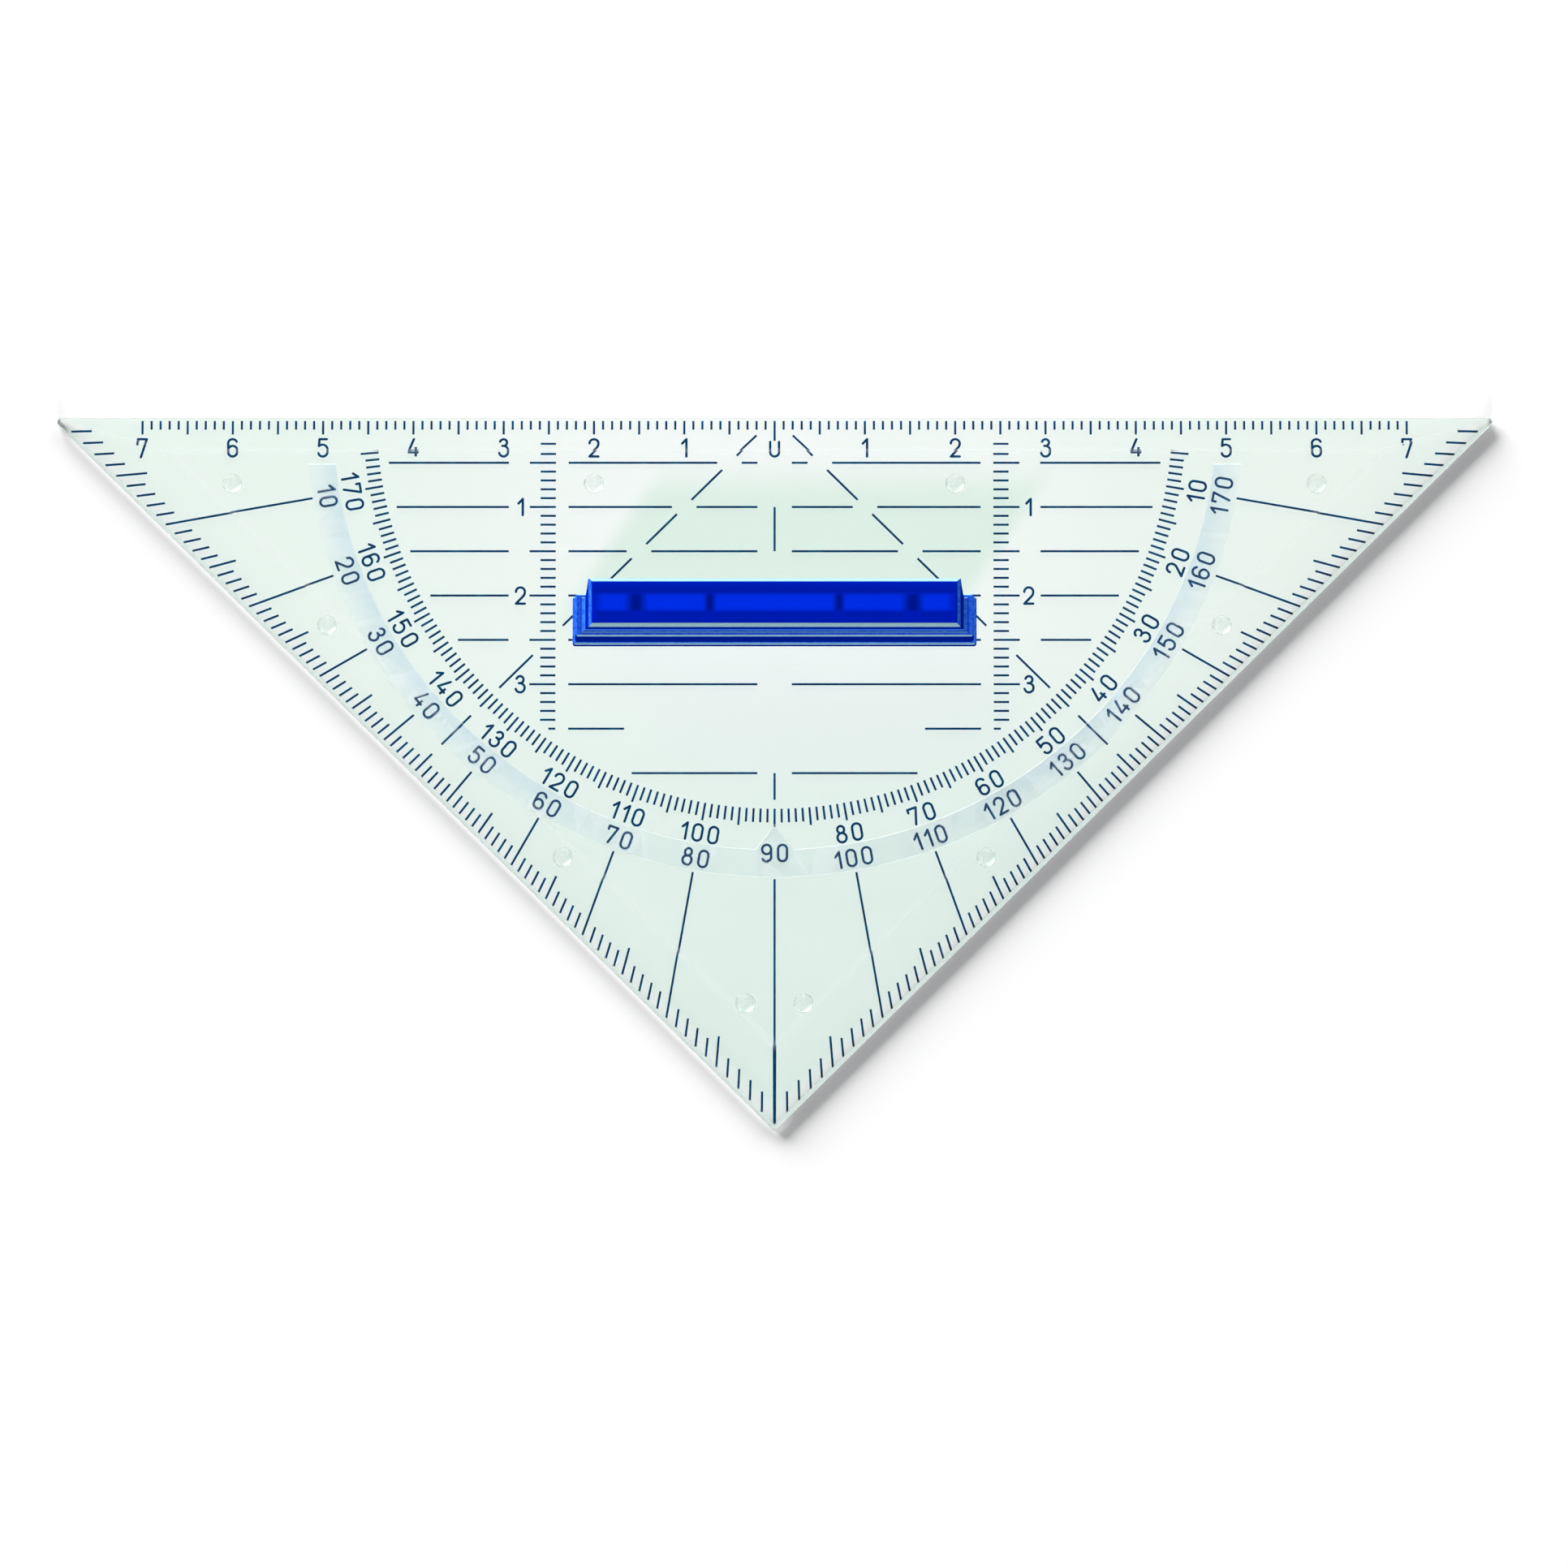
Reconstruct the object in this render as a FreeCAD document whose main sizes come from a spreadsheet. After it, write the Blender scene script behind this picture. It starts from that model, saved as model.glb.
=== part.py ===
"""A 16 cm geometry set square: a clear plate with printed scales and a plug-in handle.

Row frame, millimetres: +X runs along the long drawing edge, +Y points from the right-angled
corner to that edge, +Z is up. The origin lies on the paper under the middle of the outline.
Plate, prints and band are drawn from the zero mark, the middle of the long edge, with the
plate on the side of negative Y. Every sub-part is then moved by its Placement.
"""
import FreeCAD, Part

import math
import os

import Sketcher
from FreeCAD import Placement, Rotation, Vector

# ---------------------------------------------------------------- driving dimensions

SIZES = {
    # clear plate
    "hypotenuse": 160.0,
    "corner_round": 0.4,
    "plate_thickness": 2.0,
    "edge_thickness": 1.0,
    "ruler_bevel": 3.9,
    "leg_bevel": 6.4,
    # knobs under the plate, which keep it off wet ink
    "knob_height": 0.4,
    "knob_width": 2.2,
    "knob_flat": 0.8,
    "top_knob_setin": 7.35,
    "outer_knob_from_corner": 20.0,
    "inner_knob_from_scale": 4.2,
    "leg_knob_setin": 5.2,
    "leg_knob_spacing": 36.9,
    "apex_knob_rise": 14.2,
    "apex_knob_spacing": 6.4,
    # tinted band behind the degree numerals
    "protractor_setin": 12.57,
    "band_start": 4.85,
    "band_width": 3.05,
    "band_end_setin": 5.4,
    "band_depth": 0.3,
    "pointer_width": 4.2,
    "tint_thickness": 0.05,
    "tint_margin": 0.04,
    # handle
    "handle_setin": 23.3,
    "flange_height": 1.0,
    "foot_step": 0.3,
    "foot_height": 4.1,
    "end_ledge": 0.5,
    "side_ledge": 0.3,
    "foot_corner_round": 0.3,
    "foot_edge_round": 0.25,
    "grip_height": 11.2,
    "grip_length": 40.8,
    "grip_flare": 0.5,
    "grip_end_cove": 0.6,
    "grip_depth": 5.5,
    "grip_waist": 3.6,
    "grip_side_cove": 0.3,
    "rail_height": 1.3,
    "grip_round": 0.6,
    "cavity_width": 1.9,
    "cavity_end_wall": 0.9,
    "cavity_top_wall": 1.1,
    "rib_spacing": 14.2,
    "rib_thickness": 1.3,
    # tongues of the handle in the slots of the plate
    "tongue_spacing": 30.4,
    "tongue_length": 2.3,
    "tongue_recess": 0.1,
    "tongue_clearance": 0.03,
    # print
    "ink_thickness": 0.02,
    "line_width": 0.24,
    "numeral_stroke": 0.27,
    "numeral_height": 2.1,
    "numeral_width": 1.25,
    "numeral_gap": 0.5,
    "ruler_half_range": 70.0,
    "ruler_tick_setin": 0.3,
    "ruler_tick": 1.03,
    "ruler_long_tick": 1.6,
    "ruler_zero_tick": 2.35,
    "ruler_numeral_gap": 0.42,
    "degree_tick": 1.55,
    "degree_long_tick": 2.0,
    "inner_ring_gap": 0.38,
    "outer_ring_gap": 0.7,
    "shared_numeral_drop": 0.12,
    "half_angle_gap": 1.4,
    "ray_gap": 0.62,
    "leg_tick_setin": 0.55,
    "leg_tick": 1.65,
    "leg_long_tick": 2.65,
    "height_scale_from_arc": 19.8,
    "height_tick": 1.7,
    "height_long_tick": 2.9,
    "height_first": 3.0,
    "height_numeral_gap": 0.375,
    "field_pitch": 5.0,
    "field_clearance": 1.0,
    "inner_field_gap": 1.4,
    "inner_field_start": 1.9,
    "outer_field_gap": 0.675,
    "outer_field_last": 25.0,
    "inner_field_last": 40.0,
    "bare_panel_line": 35.0,
    "bare_panel_half_width": 16.6,
    "diagonal_start": 2.0,
    "diagonal_gap": 0.8,
    "diagonal_line_gap": 1.35,
    "centre_line_start": 10.0,
    "centre_line_end": 15.0,
}

SHEET = "Sizes"
# Expressions for places that several pieces share
PLATE_TOP = "(Sizes.knob_height + Sizes.plate_thickness)"
LEG_DISTANCE = "(Sizes.hypotenuse / 2 / sqrt(2))"
ARC_RADIUS = f"({LEG_DISTANCE} - Sizes.protractor_setin)"
HEIGHT_SCALE = f"({ARC_RADIUS} - Sizes.height_scale_from_arc)"
CENTRE_SHIFT = "((Sizes.hypotenuse / 2 - Sizes.corner_round * (sqrt(2) - 1)) / 2)"
GRIP_TOE = "(Sizes.grip_length / 2 + Sizes.grip_flare + Sizes.grip_end_cove)"
GRIP_SIDE_TOE = "(Sizes.grip_waist / 2 + Sizes.grip_side_cove)"
FOOT_LENGTH = f"(2 * ({GRIP_TOE} + Sizes.end_ledge))"
FOOT_DEPTH = f"(2 * ({GRIP_SIDE_TOE} + Sizes.side_ledge))"
FLANGE_LENGTH = f"({FOOT_LENGTH} + 2 * Sizes.foot_step)"
FLANGE_DEPTH = f"({FOOT_DEPTH} + 2 * Sizes.foot_step)"

Z_AXIS = Vector(0, 0, 1)
ROOT_TWO = math.sqrt(2)
# Angles in degrees
RIGHT_ANGLE = 90
HALF_TURN = 180
FULL_TURN = 360
LEG_TURN = 135
CENTIMETRE = 10
SAME = 1e-6  # two lengths this close are one
# Degrees that the scales on the plate show, counted clockwise from +X
ARC_DEGREES = range(5, 176)
NUMBERED_DEGREES = range(10, HALF_TURN, 10)
HALF_RIGHT_ANGLES = (45, 135)
RIGHT_LEG_DEGREES = range(1, RIGHT_ANGLE)
LEFT_LEG_DEGREES = range(RIGHT_ANGLE + 1, HALF_TURN)


def make_sheet(doc):
    """The spreadsheet that drives the model: names in column A, aliased numbers in column B."""
    sheet = doc.addObject("Spreadsheet::Sheet", SHEET)
    for row, (name, value) in enumerate(SIZES.items(), start=1):
        sheet.set(f"A{row}", name)
        sheet.set(f"B{row}", str(value))
        sheet.setAlias(f"B{row}", name)
    return sheet


# ---------------------------------------------------------------- PartDesign helpers

def new_body(doc, label, expressions):
    """An empty body whose Placement is bound to the sheet."""
    body = doc.addObject("PartDesign::Body", label)
    body.Label = label
    for axis, expression in expressions.items():
        body.setExpression(f"Placement.Base.{axis}", expression)
    return body


def new_sketch(body, name, plane, level="0", turn=0.0):
    """A sketch on one of the body's own origin planes, raised by level and turned about Z."""
    sketch = body.newObject("Sketcher::SketchObject", name)
    support = [f for f in body.Origin.OriginFeatures if f.Role == plane]
    sketch.AttachmentSupport = [(support[0], "")]
    sketch.MapMode = "FlatFace"
    upright = Vector(0, 1, 0) if plane == "YZ_Plane" else Z_AXIS
    sketch.AttachmentOffset = Placement(Vector(), Rotation(upright, turn))
    sketch.setExpression("AttachmentOffset.Base.z", level)
    return sketch


START, END, CENTRE = 1, 2, 3
ORIGIN_POINT = (-1, 1)
CLOCKWISE, ANTICLOCKWISE = -1, 1


def arc_between(begin, finish, centre_up, way):
    """An arc between two points about a centre at the height centre_up."""
    middle, run = (begin + finish) / 2, finish - begin
    centre = Vector(middle.x - (centre_up - middle.y) * run.y / run.x, centre_up, 0)
    ends = (begin, finish) if way == ANTICLOCKWISE else (finish, begin)
    angles = [math.atan2(end.y - centre.y, end.x - centre.x) for end in ends]
    circle = Part.Circle(centre, Z_AXIS, (begin - centre).Length)
    return Part.ArcOfCircle(circle, *angles)


def value_of(thing, expression):
    """The number that an expression comes to."""
    return float(thing.evalExpression(expression))


def outline(sketch, corners):
    """A closed outline whose corners are bound to expressions.

    A corner is (along, up), and a line leaves it for the next one, or (along, up, centre_up,
    way), and an arc about a centre at the height centre_up leaves it.
    """
    first, count = sketch.GeometryCount, len(corners)
    spots = [Vector(value_of(sketch, corner[0]), value_of(sketch, corner[1]), 0)
             for corner in corners]
    geometry, ends, bound = [], [], []
    for i, corner in enumerate(corners):
        begin, finish = spots[i], spots[(i + 1) % count]
        way = ANTICLOCKWISE
        if len(corner) == 2:
            geometry.append(Part.LineSegment(begin, finish))
        else:
            centre_up, way = corner[2:]
            geometry.append(arc_between(begin, finish, value_of(sketch, centre_up), way))
            bound.append(("DistanceY", (first + i, CENTRE), f"centre{first + i}", centre_up))
        ends.append((START, END) if way == ANTICLOCKWISE else (END, START))
        point = (first + i, ends[i][0])
        bound.append(("DistanceX", point, f"along{first + i}", corner[0]))
        bound.append(("DistanceY", point, f"up{first + i}", corner[1]))
    sketch.addGeometry(geometry)
    joints = [Sketcher.Constraint("Coincident", first + i, ends[i][1],
                                  first + (i + 1) % count, ends[(i + 1) % count][0])
              for i in range(count)]
    sketch.addConstraint(joints + [
        Sketcher.Constraint(kind, *ORIGIN_POINT, *point, value_of(sketch, expression))
        for kind, point, _, expression in bound])
    offset = sketch.ConstraintCount - len(bound)
    for i, (_, _, name, expression) in enumerate(bound):
        sketch.renameConstraint(offset + i, name)
        sketch.setExpression(f"Constraints.{name}", expression)


def rectangle(sketch, centre, length, depth):
    """A rectangle about a centre given as a pair of expressions."""
    along, up = centre
    outline(sketch, [
        (f"{along} - {length} / 2", f"{up} - {depth} / 2"),
        (f"{along} + {length} / 2", f"{up} - {depth} / 2"),
        (f"{along} + {length} / 2", f"{up} + {depth} / 2"),
        (f"{along} - {length} / 2", f"{up} + {depth} / 2"),
    ])


def extrude(body, kind, name, sketch, length, side="One side", reverse=False):
    """A Pad or Pocket of a sketch."""
    feature = body.newObject(f"PartDesign::{kind}", name)
    feature.Profile = sketch
    feature.SideType = side
    feature.Reversed = reverse
    feature.setExpression("Length", length)
    body.Document.recompute()
    return feature


def round_edges(body, name, chosen, radius):
    """A fillet on every edge of the body's last feature that chosen accepts."""
    base = body.Tip
    names = [f"Edge{i}" for i, edge in enumerate(base.Shape.Edges, start=1) if chosen(edge)]
    fillet = body.newObject("PartDesign::Fillet", name)
    fillet.Base = (base, names)
    fillet.setExpression("Radius", radius)
    body.Document.recompute()
    return fillet


def is_upright(edge):
    """Whether an edge runs straight up its piece."""
    box = edge.BoundBox
    return box.XLength < SAME and box.YLength < SAME and box.ZLength > SAME


def lies_at(body, expression):
    """A test for edges that lie flat at a height of the body."""
    level = value_of(body, expression)

    def test(edge):
        box = edge.BoundBox
        return box.ZLength < SAME and abs(box.ZMin - level) < SAME

    return test


# ---------------------------------------------------------------- plate

def edge_bevel(body, name, turn, distance, width):
    """Planes the top face down to the edge's thickness along one side of the triangle."""
    sketch = new_sketch(body, f"{name}_section", "YZ_Plane", turn=turn)
    outline(sketch, [
        (f"{distance} - {width}", PLATE_TOP),
        (distance, "Sizes.knob_height + Sizes.edge_thickness"),
        (distance, PLATE_TOP),
    ])
    extrude(body, "Pocket", name, sketch, "2 * Sizes.hypotenuse", side="Symmetric")


def add_knob(body, name, along, up):
    """A domed knob with a small flat tip, hanging from the underside of the plate."""
    sketch = new_sketch(body, f"{name}_section", "XZ_Plane", level=f"-({up})")
    slope = "((Sizes.knob_width - Sizes.knob_flat) / 2)"
    # The dome leaves the flat tip without a crease, so its centre stands over the tip's rim.
    dome_centre = f"({slope}^2 + Sizes.knob_height^2) / (2 * Sizes.knob_height)"
    outline(sketch, [
        (along, "Sizes.knob_height"),
        (along, "0"),
        (f"{along} + Sizes.knob_flat / 2", "0", dome_centre, ANTICLOCKWISE),
        (f"{along} + Sizes.knob_width / 2", "Sizes.knob_height"),
    ])
    knob = body.newObject("PartDesign::Revolution", name)
    knob.Profile = sketch
    knob.ReferenceAxis = (sketch, ["Edge1"])
    knob.Angle = FULL_TURN
    body.Document.recompute()
    return knob


def knob_places():
    """Name, X and Y, from the zero mark, of each knob on the right half of the plate."""
    half_leg = "Sizes.hypotenuse / 4"
    apart = "Sizes.leg_knob_spacing / 2 / sqrt(2)"
    inset = "Sizes.leg_knob_setin / sqrt(2)"
    return [
        ("OuterKnob", "Sizes.hypotenuse / 2 - Sizes.outer_knob_from_corner",
         "-Sizes.top_knob_setin"),
        ("InnerKnob", f"{HEIGHT_SCALE} - Sizes.inner_knob_from_scale",
         "-Sizes.top_knob_setin"),
        ("UpperLegKnob", f"{half_leg} + {apart} - {inset}", f"{apart} + {inset} - {half_leg}"),
        ("LowerLegKnob", f"{half_leg} - {apart} - {inset}", f"{inset} - {apart} - {half_leg}"),
        ("ApexKnob", "Sizes.apex_knob_spacing / 2",
         "Sizes.apex_knob_rise - Sizes.hypotenuse / 2"),
    ]


def band_outline(sketch, inset):
    """The tinted arc with straight ends and a pointer at 90 degrees, inset from the groove."""
    inner = f"({ARC_RADIUS} + Sizes.band_start + {inset})"
    outer = f"({ARC_RADIUS} + Sizes.band_start + Sizes.band_width - {inset})"
    end = f"(Sizes.band_end_setin + {inset})"
    wing = f"(Sizes.pointer_width / 2 - {inset})"
    tip = f"({ARC_RADIUS} + Sizes.degree_long_tick + 2 * {inset})"
    inner_end, outer_end = f"sqrt({inner}^2 - {end}^2)", f"sqrt({outer}^2 - {end}^2)"
    wing_foot = f"-sqrt({inner}^2 - {wing}^2)"
    outline(sketch, [
        (f"-{outer_end}", f"-{end}", "0", ANTICLOCKWISE),
        (outer_end, f"-{end}"),
        (inner_end, f"-{end}", "0", CLOCKWISE),
        (wing, wing_foot),
        ("0", f"-{tip}"),
        (f"-{wing}", wing_foot, "0", CLOCKWISE),
        (f"-{inner_end}", f"-{end}"),
    ])


def make_plate(doc):
    """The clear moulding: bevelled triangle, knobs, band groove and the handle's two slots."""
    body = new_body(doc, "plate", {"y": CENTRE_SHIFT})
    slab = new_sketch(body, "SlabOutline", "XY_Plane", level="Sizes.knob_height")
    outline(slab, [
        ("-Sizes.hypotenuse / 2", "0"),
        ("0", "-Sizes.hypotenuse / 2"),
        ("Sizes.hypotenuse / 2", "0"),
    ])
    extrude(body, "Pad", "Slab", slab, "Sizes.plate_thickness")
    round_edges(body, "Corners", is_upright, "Sizes.corner_round")
    edge_bevel(body, "RulerBevel", 0, "0", "Sizes.ruler_bevel")
    edge_bevel(body, "RightLegBevel", -LEG_TURN, LEG_DISTANCE, "Sizes.leg_bevel")
    edge_bevel(body, "LeftLegBevel", LEG_TURN, LEG_DISTANCE, "Sizes.leg_bevel")

    groove = new_sketch(body, "BandOutline", "XY_Plane", level=PLATE_TOP)
    band_outline(groove, "0")
    extrude(body, "Pocket", "BandGroove", groove, "Sizes.band_depth")

    slots = new_sketch(body, "SlotOutline", "XY_Plane", level=PLATE_TOP)
    for side in ("-", ""):
        rectangle(slots, (f"{side}Sizes.tongue_spacing / 2", "-Sizes.handle_setin"),
                  "(Sizes.tongue_length + 2 * Sizes.tongue_clearance)",
                  "(Sizes.cavity_width + 2 * Sizes.tongue_clearance)")
    extrude(body, "Pocket", "Slots", slots, PLATE_TOP)

    knobs = [add_knob(body, *place) for place in knob_places()]
    mirror = body.newObject("PartDesign::Mirrored", "LeftKnobs")
    mirror.Originals = knobs
    plane = [f for f in body.Origin.OriginFeatures if f.Role == "YZ_Plane"]
    mirror.MirrorPlane = (plane[0], [""])
    body.Tip = mirror
    doc.recompute()
    return body


def make_band(doc):
    """The film of blue tint on the floor of the band groove."""
    body = new_body(doc, "protractor_band", {"y": CENTRE_SHIFT})
    film = new_sketch(body, "FilmOutline", "XY_Plane",
                      level=f"{PLATE_TOP} - Sizes.band_depth")
    band_outline(film, "Sizes.tint_margin")
    extrude(body, "Pad", "Film", film, "Sizes.tint_thickness")
    return body


# ---------------------------------------------------------------- handle

def grip_section(sketch):
    """The grip across its length: side coves, hollow sides for two fingers, and a top rail."""
    waist, depth, toe = "Sizes.grip_waist / 2", "Sizes.grip_depth / 2", GRIP_SIDE_TOE
    cove_top = "Sizes.foot_height + Sizes.grip_side_cove"
    rail = "Sizes.grip_height - Sizes.rail_height"
    outline(sketch, [
        (toe, "Sizes.foot_height", cove_top, CLOCKWISE),
        (waist, cove_top, cove_top, CLOCKWISE),
        (depth, rail),
        (depth, "Sizes.grip_height"),
        (f"-{depth}", "Sizes.grip_height"),
        (f"-{depth}", rail, cove_top, CLOCKWISE),
        (f"-{waist}", cove_top, cove_top, CLOCKWISE),
        (f"-{toe}", "Sizes.foot_height"),
    ])


def end_section(sketch, side, way):
    """What is cut from one end of the grip: it leaves a sloped end wall over a cove."""
    head = "(Sizes.grip_length / 2)"
    cove = "(Sizes.grip_length / 2 + Sizes.grip_flare)"
    outside = f"({FOOT_LENGTH} / 2)"
    cove_top = "(Sizes.foot_height + Sizes.grip_end_cove)"
    outline(sketch, [
        (f"{side}{GRIP_TOE}", "Sizes.foot_height", cove_top, way),
        (f"{side}{cove}", cove_top),
        (f"{side}{head}", "Sizes.grip_height"),
        (f"{side}{outside}", "Sizes.grip_height"),
        (f"{side}{outside}", "Sizes.foot_height"),
    ])


def cavity_windows():
    """Near and far end, from the middle, of the cavity's windows on the right half."""
    half_rib = "Sizes.rib_thickness / 2"
    half_tongue = "Sizes.tongue_length / 2"
    rib, tongue = "Sizes.rib_spacing / 2", "Sizes.tongue_spacing / 2"
    return [
        (f"{rib} + {half_rib}", f"{tongue} - {half_tongue}"),
        (f"{tongue} + {half_tongue}", "Sizes.grip_length / 2 - Sizes.cavity_end_wall"),
    ]


def add_foot(body):
    """The flange that lies on the plate and the foot that stands on it."""
    flange = new_sketch(body, "FlangeOutline", "XY_Plane")
    rectangle(flange, ("0", "0"), FLANGE_LENGTH, FLANGE_DEPTH)
    extrude(body, "Pad", "Flange", flange, "Sizes.flange_height")
    foot = new_sketch(body, "FootOutline", "XY_Plane")
    rectangle(foot, ("0", "0"), FOOT_LENGTH, FOOT_DEPTH)
    extrude(body, "Pad", "Foot", foot, "Sizes.foot_height")
    round_edges(body, "Corners", is_upright, "Sizes.foot_corner_round")
    round_edges(body, "FootEdge", lies_at(body, "Sizes.foot_height"), "Sizes.foot_edge_round")
    on_flange = lies_at(body, "Sizes.flange_height")
    foot_end = value_of(body, FOOT_LENGTH) / 2
    foot_side = value_of(body, FOOT_DEPTH) / 2

    def is_rim(edge):
        box = edge.BoundBox
        beyond_foot = max(box.XMax - foot_end, -foot_end - box.XMin)
        beside_foot = max(box.YMax - foot_side, -foot_side - box.YMin)
        return on_flange(edge) and max(beyond_foot, beside_foot) > SAME

    round_edges(body, "FlangeEdge", is_rim, "Sizes.foot_edge_round")


def add_grip(body):
    """The grip on the foot, with its two shaped ends and rounded top edges."""
    section = new_sketch(body, "GripSection", "YZ_Plane")
    grip_section(section)
    extrude(body, "Pad", "Grip", section, f"2 * {GRIP_TOE}", side="Symmetric")
    ends = new_sketch(body, "EndSection", "XZ_Plane")
    end_section(ends, "", CLOCKWISE)
    end_section(ends, "-", ANTICLOCKWISE)
    extrude(body, "Pocket", "Ends", ends, f"2 * {FLANGE_DEPTH}", side="Symmetric")
    round_edges(body, "GripEdge", lies_at(body, "Sizes.grip_height"), "Sizes.grip_round")


def cut_cavity(body):
    """The slot inside the handle, open below and divided by its ribs and tongue roots."""
    windows = new_sketch(body, "CavityOutline", "XY_Plane")
    for near, far in cavity_windows():
        for side in ("-", ""):
            rectangle(windows, (f"{side}(({near}) + ({far})) / 2", "0"),
                      f"(({far}) - ({near}))", "Sizes.cavity_width")
    rectangle(windows, ("0", "0"), "(Sizes.rib_spacing - Sizes.rib_thickness)",
              "Sizes.cavity_width")
    extrude(body, "Pocket", "Cavity", windows, "Sizes.grip_height - Sizes.cavity_top_wall",
            reverse=True)


def add_tongues(body):
    """The two tongues that hang into the slots of the plate."""
    tongues = new_sketch(body, "TongueOutline", "XY_Plane")
    for side in ("-", ""):
        rectangle(tongues, (f"{side}Sizes.tongue_spacing / 2", "0"), "Sizes.tongue_length",
                  "Sizes.cavity_width")
    extrude(body, "Pad", "Tongues", tongues, "Sizes.plate_thickness - Sizes.tongue_recess",
            reverse=True)


def make_handle(doc):
    """The blue moulding, drawn from the middle of its seat on the plate."""
    body = new_body(doc, "grip_handle", {
        "y": f"{CENTRE_SHIFT} - Sizes.handle_setin",
        "z": PLATE_TOP,
    })
    add_foot(body)
    add_grip(body)
    cut_cavity(body)
    add_tongues(body)
    return body


# ---------------------------------------------------------------- printed scales

# Strokes of the numerals in a unit box: a pair is a line to that point, four numbers are an
# arc through the first point to the second.
GLYPHS = {
    "0": [[(0, 0.284), (0, 0.716), (0.5, 1, 1, 0.716), (1, 0.284), (0.5, 0, 0, 0.284)]],
    "1": [[(0, 0.72), (0.48, 1), (0.48, 0)]],
    "2": [[(0, 0.73), (0.5, 1, 1, 0.73), (0.96, 0.59, 0.84, 0.47), (0, 0), (1, 0)]],
    "3": [[(0.1, 0.84), (0.25, 0.95, 0.5, 1), (0.88, 0.784, 0.5, 0.568), (0.36, 0.568)],
          [(0.36, 0.568), (0.5, 0.568), (1, 0.284, 0.5, 0), (0.16, 0.07, 0, 0.22)]],
    "4": [[(0.56, 1), (0, 0.26), (1, 0.26)], [(0.78, 0.5), (0.78, 0)]],
    "5": [[(0.92, 1), (0.1, 1), (0.04, 0.56), (0.5, 0.645, 1, 0.31), (0.8, 0.06, 0.45, 0),
           (0.15, 0.06, 0, 0.2)]],
    "6": [[(0, 0.284), (0.5, 0.568, 1, 0.284), (0.5, 0, 0, 0.284)],
          [(0, 0.284), (0, 0.65), (0.45, 1, 0.95, 0.84)]],
    "7": [[(0, 0.8), (0, 1), (1, 1), (0.4, 0)]],
    "8": [[(0, 0.284), (0.5, 0.568, 1, 0.284), (0.5, 0, 0, 0.284)],
          [(0.12, 0.784), (0.5, 1, 0.88, 0.784), (0.5, 0.568, 0.12, 0.784)]],
    "o": [[(0, 0.82), (0, 0.284), (0.5, 0, 1, 0.284), (1, 0.82)]],  # open at its top
}
NARROW_GLYPHS = {"1": 0.48}
TURNED_GLYPHS = {"9": "6"}  # drawn as the other, upside down


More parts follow.
